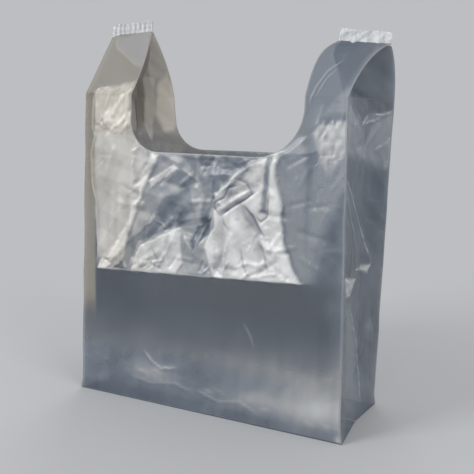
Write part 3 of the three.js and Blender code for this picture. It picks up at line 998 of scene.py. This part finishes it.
def add_film(name, sheets, material, thickness, shoulder=None):
    """Makes a piece of film from sheets, each of which is its grid of points, its look and
    whether it is flipped. Points that lie on each other are merged, tone, warmth and haze
    become attributes, and the film is thickened to both sides and closed along its edges."""
    points, looks, faces, count = [], [], [], 0
    for grid, look, flip in sheets:
        rows, columns, _ = grid.shape
        faces.append(grid_faces(rows, columns, flip) + count)
        points.append(grid.reshape(-1, 3))
        parts = [np.broadcast_to(part, (rows, columns)).ravel() for part in look]
        looks.append(np.stack(parts, axis=1))
        count += rows * columns
    mesh = bpy.data.meshes.new(name)
    mesh.from_pydata(np.concatenate(points).tolist(), [], np.concatenate(faces).tolist())
    looks = np.clip(np.concatenate(looks), 0, 1).astype(np.float32)
    for index, attribute in enumerate(("tone", "warmth", "haze")):
        mesh.attributes.new(attribute, "FLOAT", "POINT").data.foreach_set("value", looks[:, index])
    merged = bmesh.new()
    merged.from_mesh(mesh)
    bmesh.ops.remove_doubles(merged, verts=merged.verts, dist=MERGE_DISTANCE)
    merged.to_mesh(mesh)
    merged.free()
    if shoulder is not None:
        sharpen(mesh, shoulder)
    mesh.polygons.foreach_set("use_smooth", np.ones(len(mesh.polygons), bool))
    mesh.materials.append(material)
    piece = bpy.data.objects.new(name, mesh)
    bpy.context.scene.collection.objects.link(piece)
    if thickness:
        wall = piece.modifiers.new("film wall", "SOLIDIFY")
        wall.thickness = thickness
        wall.offset = 0
        wall.use_rim = True
    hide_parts(NODE)
    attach(piece, BODY)
    return piece


def body_heights(bag, grid):
    """Heights of the rows up to the rim: coarse below the crumpled part and fine above it."""
    rim = bag.shoulder - bag.rim_drop
    start = 126 * MM
    low = np.linspace(bag.wall, start, grid["low"], endpoint=False)
    return np.concatenate([low, np.linspace(start, rim, grid["high"])])


def handle_heights(bag, handle, grid):
    """Heights of the rows from the rim to the weld, closest together at the rim, where the
    mouth's corner is flattest."""
    rim = bag.shoulder - bag.rim_drop
    turn = np.linspace(0, math.pi / 2, grid["corner"])
    corner = rim + handle.mouth_radius * (1 - np.cos(turn))
    straight = np.linspace(corner[-1], bag.shoulder, grid["neck"])[1:]
    s = np.linspace(0, 1, grid["top"])[1:]
    return np.concatenate([corner, straight, bag.shoulder + handle.rise * s])


def middle_part(bag, face, across, height):
    """A panel's part between its side strips: its points, the way out, how much of the relief
    they take, and how far they are from the side crease and from the rim. The crease is out
    of reach here, so that this distance is 1 m."""
    x = lerp(inner_x(bag, bag.left, height), inner_x(bag, bag.right, height), across)
    points = vectors(x, panel_y(bag, face, x, height), height)
    away = 1 + 0 * x
    return points, vectors(0 * x, face, 0), away, away, bag.shoulder - bag.rim_drop - height


def side_part(bag, handle, face, across, height):
    """A panel's strip below and in a handle: its points, the way out, how much of the relief
    they take, and how far they are from the side crease and from the free edge."""
    points = side_strip(bag, handle, face, across, height)
    normal = panel_normal(handle, face, height, bag.shoulder)
    outer = side_strip(bag, handle, face, 0 * across, height)
    away = np.linalg.norm(points - outer, axis=-1)
    s = np.clip((height - bag.shoulder) / handle.rise, 0, 1)
    taken = fade(0, 7, away) * (1 - ease(0.7, 1, s))
    return points, normal, taken, away, lip_distance(bag, handle, face, across, height, points)


def lip_distance(bag, handle, face, across, height, points):
    """Distance of points of a side strip from its inner edge, or from the quarter circle as
    far up as the mouth's corner goes."""
    radius = handle.mouth_radius
    inner = side_strip(bag, handle, face, 1 + 0 * across, height)
    down = bag.shoulder - bag.rim_drop + radius - height
    sideways = mouth_edge(bag, handle) - handle.side * radius - points[..., 0]
    round_corner = np.abs(radius - np.hypot(down, sideways))
    return np.where(down > 0, round_corner, np.linalg.norm(points - inner, axis=-1))


def panel_sheets(bag, face, look, grid):
    """The sheets of a panel: one up to the rim, and one in each handle, which meets it along
    the rim. The relief dies out at the side creases, at the base and at the welds."""
    left, middle, right = grid["columns"]
    spans = [
        (bag.left, np.linspace(0, 1, left)),
        (None, np.linspace(0, 1, middle)),
        (bag.right, np.linspace(1, 0, right)),
    ]
    sheets = []
    for handle, u in spans:
        parts = [body_heights(bag, grid)]
        if handle is not None:
            parts.append(handle_heights(bag, handle, grid))
        for heights in parts:
            across, height = np.meshgrid(u, heights)
            if handle is None:
                points, normal, taken, away, lip = middle_part(bag, face, across, height)
            else:
                points, normal, taken, away, lip = side_part(bag, handle, face, across, height)
            relief, *rest = look(points, away, lip)
            relief = relief * taken * fade(0, 12, height) * lerp(0.4, 1, fade(0, 9, lip))
            sheets.append((points + normal * relief[..., None], rest, face == BACK))
    return sheets


def side_sheet(bag, handle, look, grid):
    """The sheet of a side panel. Across it v goes from -1 at the front crease through 0 at
    the centre fold to 1 at the back crease, and above the shoulder the fold moves in."""
    columns, rows, top = grid
    s_rows = np.linspace(0, 1, top)[1:] ** 1.7
    body = np.linspace(bag.wall, bag.shoulder, rows)
    heights = np.concatenate([body, bag.shoulder + handle.rise * s_rows])
    v, height = np.meshgrid(np.linspace(-1, 1, columns), heights)
    z = np.minimum(height, bag.shoulder)
    s = np.clip((height - bag.shoulder) / handle.rise, 0, 1)
    in_handle = (s > 0)[..., None]
    creases = [
        np.where(in_handle, handle_crease(bag, handle, face, s), crease(bag, handle, face, z))
        for face in (FRONT, BACK)
    ]
    outer = np.where((v < 0)[..., None], *creases)
    fold = np.where(in_handle, handle_fold(bag, handle, s), side_fold(bag, handle, z))
    points = between(fold, outer, np.abs(v))
    relief, *rest = look(points, v * bag.gusset_half, height)
    edge = ease(0, 0.12, 1 - np.abs(v)) * fade(0, 12, height) * (1 - ease(0.05, 0.5, s))
    normal = vectors(handle.side + 0 * v, 0, 0)
    return points + normal * (relief * edge)[..., None], rest, handle.side < 0


# Materials.


def socket(tree, kind, direction, name, default=None):
    """Adds a socket to a node group."""
    made = tree.interface.new_socket(name=name, in_out=direction, socket_type=kind)
    if default is not None:
        made.default_value = default
    return made


def node(tree, kind, inputs=None, **settings):
    """Adds a node, sets it, and links or fills its inputs, given by name or number."""
    made = tree.nodes.new(kind)
    for name, value in settings.items():
        setattr(made, name, value)
    for name, value in (inputs or {}).items():
        if isinstance(value, bpy.types.NodeSocket):
            tree.links.new(value, made.inputs[name])
        else:
            made.inputs[name].default_value = value
    return made


def math_node(tree, operation, first, second):
    """The result of a sum of two values, each of which is a socket or a number."""
    return node(tree, "ShaderNodeMath", {0: first, 1: second}, operation=operation).outputs[0]


def map_range(tree, value, span, **settings):
    """A value moved from one span to another, each of which goes from 0 to 1 by default."""
    return node(tree, "ShaderNodeMapRange", {"Value": value, **span}, **settings).outputs[0]


def mix_colour(tree, part, first, second):
    """The colour that goes from the first to the second as part goes from 0 to 1."""
    return node(tree, "ShaderNodeMix", {0: part, 6: first, 7: second}, data_type="RGBA").outputs[2]


def film_group():
    """Node group: the colour, opacity and roughness of film from its tone, warmth and haze.
    The colour is the tint times the tone to the power 2.2, and the tint goes from cool to
    neutral with the tone, and to warm with the warmth."""
    tree = bpy.data.node_groups.new("film finish", "ShaderNodeTree")
    for name in ("Tone", "Warmth", "Haze", "Clear", "Foil", "Smooth roughness", "Foil roughness"):
        socket(tree, "NodeSocketFloat", "INPUT", name, 0.5)
    for name in ("Cool", "Neutral", "Warm"):
        socket(tree, "NodeSocketColor", "INPUT", name, (1, 1, 1, 1))
    socket(tree, "NodeSocketColor", "OUTPUT", "Colour")
    socket(tree, "NodeSocketFloat", "OUTPUT", "Opacity")
    socket(tree, "NodeSocketFloat", "OUTPUT", "Roughness")
    given = node(tree, "NodeGroupInput").outputs
    bright = map_range(tree, given["Tone"], {"From Min": 0.33, "From Max": 0.78})
    tint = mix_colour(tree, bright, given["Cool"], given["Neutral"])
    warm = mix_colour(tree, given["Warmth"], tint, given["Warm"])
    level = math_node(tree, "POWER", given["Tone"], 2.2)
    scaled = node(tree, "ShaderNodeVectorMath", {0: warm, "Scale": level}, operation="SCALE")
    opacity = map_range(tree, given["Haze"], {"To Min": given["Clear"], "To Max": given["Foil"]})
    span = {"To Min": given["Smooth roughness"], "To Max": given["Foil roughness"]}
    rough = map_range(tree, given["Haze"], span)
    outputs = {"Colour": scaled.outputs[0], "Opacity": opacity, "Roughness": rough}
    node(tree, "NodeGroupOutput", outputs)
    return tree


def crinkle_group():
    """Node group: the height of fine crinkles. Noise with sharp ridges gives short creases
    where the film is hazy, and finer noise gives the film's own unevenness."""
    tree = bpy.data.node_groups.new("fine crinkles", "ShaderNodeTree")
    socket(tree, "NodeSocketVector", "INPUT", "Place")
    socket(tree, "NodeSocketFloat", "INPUT", "Haze", 0)
    socket(tree, "NodeSocketFloat", "INPUT", "Ridges", 90)
    socket(tree, "NodeSocketFloat", "OUTPUT", "Height")
    given = node(tree, "NodeGroupInput").outputs
    ridges = node(
        tree,
        "ShaderNodeTexNoise",
        {"Vector": given["Place"], "Scale": given["Ridges"], "Detail": 3, "Distortion": 0.6},
        noise_type="RIDGED_MULTIFRACTAL",
    )
    creased = math_node(tree, "MULTIPLY", ridges.outputs[0], given["Haze"])
    grain = node(tree, "ShaderNodeTexNoise", {"Vector": given["Place"], "Scale": 110, "Detail": 1})
    faint = math_node(tree, "MULTIPLY", grain.outputs[0], 0.12)
    node(tree, "NodeGroupOutput", {"Height": math_node(tree, "ADD", creased, faint)})
    return tree


def attribute_value(tree, name):
    """The value of one of the mesh's attributes."""
    read = node(tree, "ShaderNodeAttribute", attribute_name=name, attribute_type="GEOMETRY")
    return read.outputs["Fac"]


def film_material(name, look, clear, ridges, bump):
    """Film: a glossy plastic whose opacity rises with its haze and with fine crinkles in it."""
    material = bpy.data.materials.new(name)
    material.use_nodes = True
    tree = material.node_tree
    tree.nodes.clear()
    groups = bpy.data.node_groups
    haze = attribute_value(tree, "haze")
    finish = {
        "Tone": attribute_value(tree, "tone"),
        "Warmth": attribute_value(tree, "warmth"),
        "Haze": haze,
        "Clear": clear,
        "Foil": look.foil,
        "Smooth roughness": look.smooth_roughness,
        "Foil roughness": look.foil_roughness,
        "Cool": (*look.cool, 1),
        "Neutral": (*look.neutral, 1),
        "Warm": (*look.warm, 1),
    }
    finish_tree = groups.get("film finish") or film_group()
    shown = node(tree, "ShaderNodeGroup", node_tree=finish_tree, inputs=finish)
    place = node(tree, "ShaderNodeTexCoord").outputs["Object"]
    crinkles = {"Place": place, "Haze": haze, "Ridges": ridges}
    crinkle_tree = groups.get("fine crinkles") or crinkle_group()
    fine = node(tree, "ShaderNodeGroup", node_tree=crinkle_tree, inputs=crinkles)
    bumps = {"Height": fine.outputs["Height"], "Strength": bump, "Distance": 0.5 * MM}
    relief = node(tree, "ShaderNodeBump", bumps)
    shader = node(
        tree,
        "ShaderNodeBsdfPrincipled",
        {
            "Base Color": shown.outputs["Colour"],
            "Alpha": shown.outputs["Opacity"],
            "Roughness": shown.outputs["Roughness"],
            "IOR": 1.5,
            "Normal": relief.outputs["Normal"],
        },
    )
    node(tree, "ShaderNodeOutputMaterial", {"Surface": shader.outputs["BSDF"]})
    return material


def material_of(name, look):
    """A film material by its name, made when it is first asked for."""
    if name in bpy.data.materials:
        return bpy.data.materials[name]
    if name == "clear_film":
        return film_material(name, look, look.clear, 90, 0.5)
    return film_material(name, look, look.foil, 220, 0.6)


# Operators.


class BagOperator:
    """What the operators of the bag share."""

    bl_options = {"REGISTER", "UNDO"}

    def execute(self, context):
        self.build(context.scene.bag_sizes, context.scene.bag_film)
        return {"FINISHED"}


class BAG_OT_front(BagOperator, bpy.types.Operator):
    """Add the front panel, with its crumpled upper part and the front layers of the handles"""

    bl_idname = "bag.front"
    bl_label = "Front Panel"

    def build(self, bag, look):
        sheets = panel_sheets(bag, FRONT, front_look, FRONT_GRID)
        add_film("front_panel", sheets, material_of("clear_film", look), bag.gauge, bag.shoulder)


class BAG_OT_back(BagOperator, bpy.types.Operator):
    """Add the back panel, which sags forward beside the left handle"""

    bl_idname = "bag.back"
    bl_label = "Back Panel"

    def build(self, bag, look):
        sheets = panel_sheets(bag, BACK, back_look, BACK_GRID)
        add_film("back_panel", sheets, material_of("clear_film", look), bag.gauge, bag.shoulder)


class BAG_OT_sides(BagOperator, bpy.types.Operator):
    """Add the two side panels, whose centre folds close up inside the handles"""

    bl_idname = "bag.sides"
    bl_label = "Side Panels"

    def build(self, bag, look):
        film = material_of("clear_film", look)
        right = side_sheet(bag, bag.right, right_side_look, RIGHT_SIDE_GRID)
        add_film("right_side", [right], film, bag.gauge, bag.shoulder)
        left = side_sheet(bag, bag.left, left_side_look, LEFT_SIDE_GRID)
        add_film("left_side", [left], film, bag.gauge, bag.shoulder)


class BAG_OT_base(BagOperator, bpy.types.Operator):
    """Add the base, with the folded ends of the side panels on it and the weld across it"""

    bl_idname = "bag.base"
    bl_label = "Base"

    def build(self, bag, look):
        film = material_of("clear_film", look)
        columns, rows = BASE_GRID
        across, along = np.meshgrid(np.linspace(0, 1, columns), np.linspace(-1, 1, rows))
        level = bag.wall + 0 * along
        sides = []
        for handle in (bag.left, bag.right):
            creases = [crease(bag, handle, face, level) for face in (FRONT, BACK)]
            corner = np.where((along < 0)[..., None], *creases)
            sides.append(between(side_fold(bag, handle, level), corner, np.abs(along)))
        points = between(sides[0], sides[1], across)
        x, y = points[..., 0], points[..., 1]
        pucker = 0.25 * MM * (1 + folds(x, y, 30 * MM, 301)) * ease(0, 0.06, 1 - np.abs(along))
        points[..., 2] = 0.2 * MM + pucker * fade(0, 8, np.minimum(x - x.min(), x.max() - x))
        tone = BASE_LEVEL / 255 + 0.04 * noise(x, y, 30 * MM, 302)
        tone = tone + 0.05 * folds(x, y, 12 * MM, 303)
        add_film("base_film", [(points, (tone, 0, 0.2), False)], film, bag.gauge)


class BAG_OT_seam(BagOperator, bpy.types.Operator):
    """Add the weld across the base, a welt whose round ends stand out past the side folds"""

    bl_idname = "bag.seam"
    bl_label = "Base Seam"

    def build(self, bag, look):
        half = bag.width / 2 - bag.gusset_dip + bag.seam_tab
        columns, rows = SEAM_GRID
        turns = np.linspace(0, 2 * math.pi, rows)
        around, along = np.meshgrid(turns, np.linspace(-1, 1, columns))
        end = np.clip((1 - np.abs(along)) * half / (0.5 * bag.seam_width), 0, 1)
        taper = np.sqrt(np.clip(1 - (1 - end) ** 2, 0, 1))
        x = half * along
        sway = 0.4 * MM * noise(x, 0 * x, 22 * MM, 311) * taper
        flat = 1 + 0.15 * folds(x, around * MM, 5 * MM, 312, 3)
        y = 0.5 * bag.seam_width * taper * np.cos(around) + sway
        z = 0.5 * bag.seam_rise * (1 + 0.92 * taper * flat * np.sin(around))
        tone = SEAM_LEVEL / 255 + 0.12 * folds(x, y, 6 * MM, 313, 3)
        points = vectors(x, y, np.maximum(z, 0.1 * MM))
        add_film("base_seam", [(points, (tone, 0, 0.6), True)], material_of("weld_film", look), 0)


class BAG_OT_welds(BagOperator, bpy.types.Operator):
    """Add the welds that gather the handles, ribbed on the left and crumpled on the right"""

    bl_idname = "bag.welds"
    bl_label = "Handle Welds"

    def build(self, bag, look):
        film = material_of("weld_film", look)
        columns, rows = WELD_GRID
        along, up = np.meshgrid(np.linspace(-1, 1, columns), np.linspace(0, 1, rows))
        level = lerp(-bag.weld_overlap, bag.weld_height, up)
        welds = (("left_weld", bag.left, ribbed_weld), ("right_weld", bag.right, crumpled_weld))
        for name, handle, weld in welds:
            run = along * handle.weld_length / 2
            depth, tone, height = weld(bag, along, up, run, level)
            uneven = 0.5 * MM * noise(run, 0 * run, 7 * MM, 78 + handle.side) * up
            _, backward = weld_axes(handle)
            points = weld_point(bag, handle, along, 0, height + uneven)
            points = points + depth[..., None] * backward
            add_film(name, [(points, (tone, 0, 1), handle.side < 0)], film, 2.4 * bag.wall)


class BAG_OT_stage(bpy.types.Operator):
    """Add the floor, the soft light and the camera"""

    bl_idname = "bag.stage"
    bl_label = "Stage"
    bl_options = {"REGISTER", "UNDO"}

    def execute(self, context):
        stage = context.scene.bag_stage
        add_floor(stage)
        add_world(stage)
        for name, place, size, watts in LAMPS:
            add_light(name, place, size, watts)
        add_camera(stage)
        context.scene.view_settings.view_transform = "Standard"
        return {"FINISHED"}


def seen_ray(tree):
    """1 for the camera's rays and for those that mirrors and glass pass on, else 0."""
    rays = node(tree, "ShaderNodeLightPath").outputs
    passed = math_node(tree, "MAXIMUM", rays["Is Glossy Ray"], rays["Is Transmission Ray"])
    return math_node(tree, "MAXIMUM", rays["Is Camera Ray"], passed)


def add_floor(stage):
    """The floor: a disc of rings far wider than the view, which fades into the backdrop's
    colour."""
    turn = np.linspace(0, 2 * math.pi, FLOOR_SIDES + 1)[:-1]
    radius, around = np.meshgrid(np.array(FLOOR_RINGS), turn, indexing="ij")
    points = vectors(radius * np.cos(around), radius * np.sin(around), -0.1 * MM).reshape(-1, 3)
    ring = np.arange(FLOOR_SIDES)
    first = (np.arange(len(FLOOR_RINGS) - 1)[:, None] * FLOOR_SIDES + ring).ravel()
    last = (first + 1) % FLOOR_SIDES == 0
    following = np.where(last, first + 1 - FLOOR_SIDES, first + 1)
    faces = [first, first + FLOOR_SIDES, following + FLOOR_SIDES, following]
    mesh = bpy.data.meshes.new("floor")
    mesh.from_pydata(points.tolist(), [], [ring.tolist()] + np.stack(faces, axis=1).tolist())
    floor = bpy.data.objects.new("floor", mesh)
    bpy.context.scene.collection.objects.link(floor)
    material = bpy.data.materials.new("floor")
    material.use_nodes = True
    tree = material.node_tree
    tree.nodes.clear()
    matt = node(tree, "ShaderNodeBsdfDiffuse", {"Color": (*stage.floor, 1)})
    far = node(tree, "ShaderNodeEmission", {"Color": (*stage.backdrop, 1), "Strength": 1})
    place = node(tree, "ShaderNodeTexCoord").outputs["Object"]
    radius = node(tree, "ShaderNodeVectorMath", {0: place}, operation="LENGTH").outputs["Value"]
    span = {"From Min": FLOOR_FADE[0], "From Max": FLOOR_FADE[1]}
    away = map_range(tree, radius, span, interpolation_type="SMOOTHSTEP")
    part = math_node(tree, "MULTIPLY", away, seen_ray(tree))
    mixed = node(tree, "ShaderNodeMixShader", {0: part, 1: matt.outputs[0], 2: far.outputs[0]})
    node(tree, "ShaderNodeOutputMaterial", {"Surface": mixed.outputs[0]})
    mesh.materials.append(material)


def add_world(stage):
    """The world: even light, and the backdrop's colour where it is seen."""
    world = bpy.data.worlds.new("studio")
    bpy.context.scene.world = world
    world.use_nodes = True
    tree = world.node_tree
    tree.nodes.clear()
    seen = node(tree, "ShaderNodeBackground", {"Color": (*stage.backdrop, 1), "Strength": 1})
    lit = node(tree, "ShaderNodeBackground", {"Color": (1, 1, 1, 1), "Strength": stage.sky})
    inputs = {0: seen_ray(tree), 1: lit.outputs[0], 2: seen.outputs[0]}
    mixed = node(tree, "ShaderNodeMixShader", inputs)
    node(tree, "ShaderNodeOutputWorld", {"Surface": mixed.outputs[0]})


def add_light(name, place, size, watts):
    """A square soft light that faces the middle of the bag."""
    light = bpy.data.lights.new(name, "AREA")
    light.size = size
    light.energy = watts
    lamp = bpy.data.objects.new(name, light)
    bpy.context.scene.collection.objects.link(lamp)
    lamp.location = place
    towards = Vector(LAMP_TARGET) - Vector(place)
    lamp.rotation_euler = towards.to_track_quat("-Z", "Y").to_euler()


def add_camera(stage):
    """The camera: it looks at the target from its azimuth and elevation, turned by the roll."""
    a, e, r = stage.azimuth, stage.elevation, stage.roll
    behind = Vector((math.sin(a) * math.cos(e), -math.cos(a) * math.cos(e), math.sin(e)))
    level = Vector((math.cos(a), math.sin(a), 0))
    upright = behind.cross(level)
    right = math.cos(r) * level + math.sin(r) * upright
    up = -math.sin(r) * level + math.cos(r) * upright
    data = bpy.data.cameras.new("camera")
    data.sensor_width = 36
    data.lens = data.sensor_width * stage.focal_pixels / PICTURE_SIDE
    camera = bpy.data.objects.new("camera", data)
    bpy.context.scene.collection.objects.link(camera)
    place = Vector(stage.target) + behind * stage.distance
    turn = Matrix((right, up, behind)).transposed().to_4x4()
    camera.matrix_world = Matrix.Translation(place) @ turn
    bpy.context.scene.camera = camera


class BAG_PT_panel(bpy.types.Panel):
    """Lists the sizes, the finish and the operators of the bag"""

    bl_label = "Carrier Bag"
    bl_idname = "BAG_PT_panel"
    bl_space_type = "VIEW_3D"
    bl_region_type = "UI"
    bl_category = "Carrier Bag"

    def draw(self, context):
        layout = self.layout
        layout.use_property_split = True
        scene = context.scene
        for title, group in (
            ("Bag", scene.bag_sizes),
            ("Left handle", scene.bag_sizes.left),
            ("Right handle", scene.bag_sizes.right),
            ("Film", scene.bag_film),
            ("Stage", scene.bag_stage),
        ):
            box = layout.box()
            box.label(text=title)
            for name in group.bl_rna.properties.keys():
                if name not in ("rna_type", "name", "left", "right"):
                    box.prop(group, name)
        for operator in OPERATORS:
            layout.operator(operator.bl_idname)


OPERATORS = (
    BAG_OT_stage,
    BAG_OT_front,
    BAG_OT_back,
    BAG_OT_sides,
    BAG_OT_base,
    BAG_OT_seam,
    BAG_OT_welds,
)
CLASSES = (HandleSizes, BagSizes, FilmLook, StageLook, *OPERATORS, BAG_PT_panel)


def register():
    """Registers the classes, and gives the scene the bag's sizes, its film and the stage."""
    for cls in CLASSES:
        bpy.utils.register_class(cls)
    bpy.types.Scene.bag_sizes = bpy.props.PointerProperty(type=BagSizes)
    bpy.types.Scene.bag_film = bpy.props.PointerProperty(type=FilmLook)
    bpy.types.Scene.bag_stage = bpy.props.PointerProperty(type=StageLook)


def unregister():
    """Takes away what register has added."""
    del bpy.types.Scene.bag_stage
    del bpy.types.Scene.bag_film
    del bpy.types.Scene.bag_sizes
    for cls in reversed(CLASSES):
        bpy.utils.unregister_class(cls)


def set_handle(handle, sizes):
    """Gives one handle its own sizes."""
    for name, value in sizes.items():
        if name in PLAIN_NUMBERS:
            setattr(handle, name, value)
        elif name in ANGLES:
            setattr(handle, name, math.radians(value))
        else:
            setattr(handle, name, value * MM)


def main():
    """Builds the stage and the bag."""
    register()
    sizes = bpy.context.scene.bag_sizes
    set_handle(sizes.left, LEFT_HANDLE)
    set_handle(sizes.right, RIGHT_HANDLE)
    bpy.ops.bag.stage()
    bpy.ops.bag.front()
    bpy.ops.bag.back()
    bpy.ops.bag.sides()
    bpy.ops.bag.base()
    bpy.ops.bag.seam()
    bpy.ops.bag.welds()
    bpy.context.view_layer.update()


if __name__ == "__main__":
    main()
